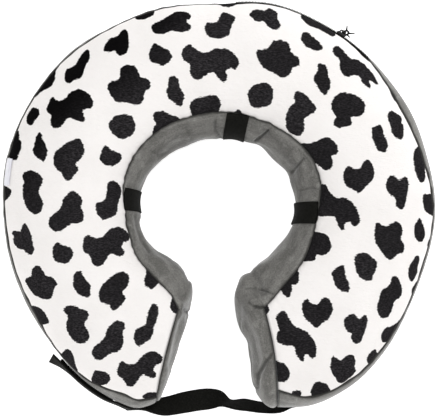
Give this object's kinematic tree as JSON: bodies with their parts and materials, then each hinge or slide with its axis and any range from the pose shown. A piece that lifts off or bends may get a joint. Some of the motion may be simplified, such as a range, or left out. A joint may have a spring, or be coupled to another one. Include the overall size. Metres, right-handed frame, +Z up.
{
  "type": "inflatable recovery collar",
  "caption": "Soft C-shaped inflated ring with a plush spotted face, grey gusset round the neck hole, webbing loops and a closing strap; worn by a pet to keep it off a wound.",
  "frame": {"origin": "under the middle of the collar's box, on the surface that it rests on", "axes": "+Z up along the neck's axis, out of the printed face; -Y out of the mouth of the C; +X to the right of the printed face"},
  "size_m": [0.3892, 0.3734, 0.1],
  "materials": {
    "spotted_plush": "short white plush printed with black cow spots",
    "grey_velveteen": "warm grey velveteen, matt with a soft nap",
    "black_webbing": "black woven nylon webbing",
    "bladder_film": "welded flexible film",
    "black_enamel": "black enamelled zip slider",
    "white_satin": "blank white satin tape"
  },
  "bodies": {
    "root": {"front_panel": "spotted_plush", "back_panel": "grey_velveteen", "neck_gusset": "grey_velveteen", "air_bladder": "bladder_film", "closure_strap": "black_webbing", "strap_patch": "black_webbing", "zip_chain": "black_webbing", "side_label": "white_satin", "collar_loop_right": "black_webbing", "collar_loop_top": "black_webbing", "collar_loop_left": "black_webbing", "zip_slider": "black_enamel", "pull_thread": "black_webbing"}
  },
  "joints": []
}
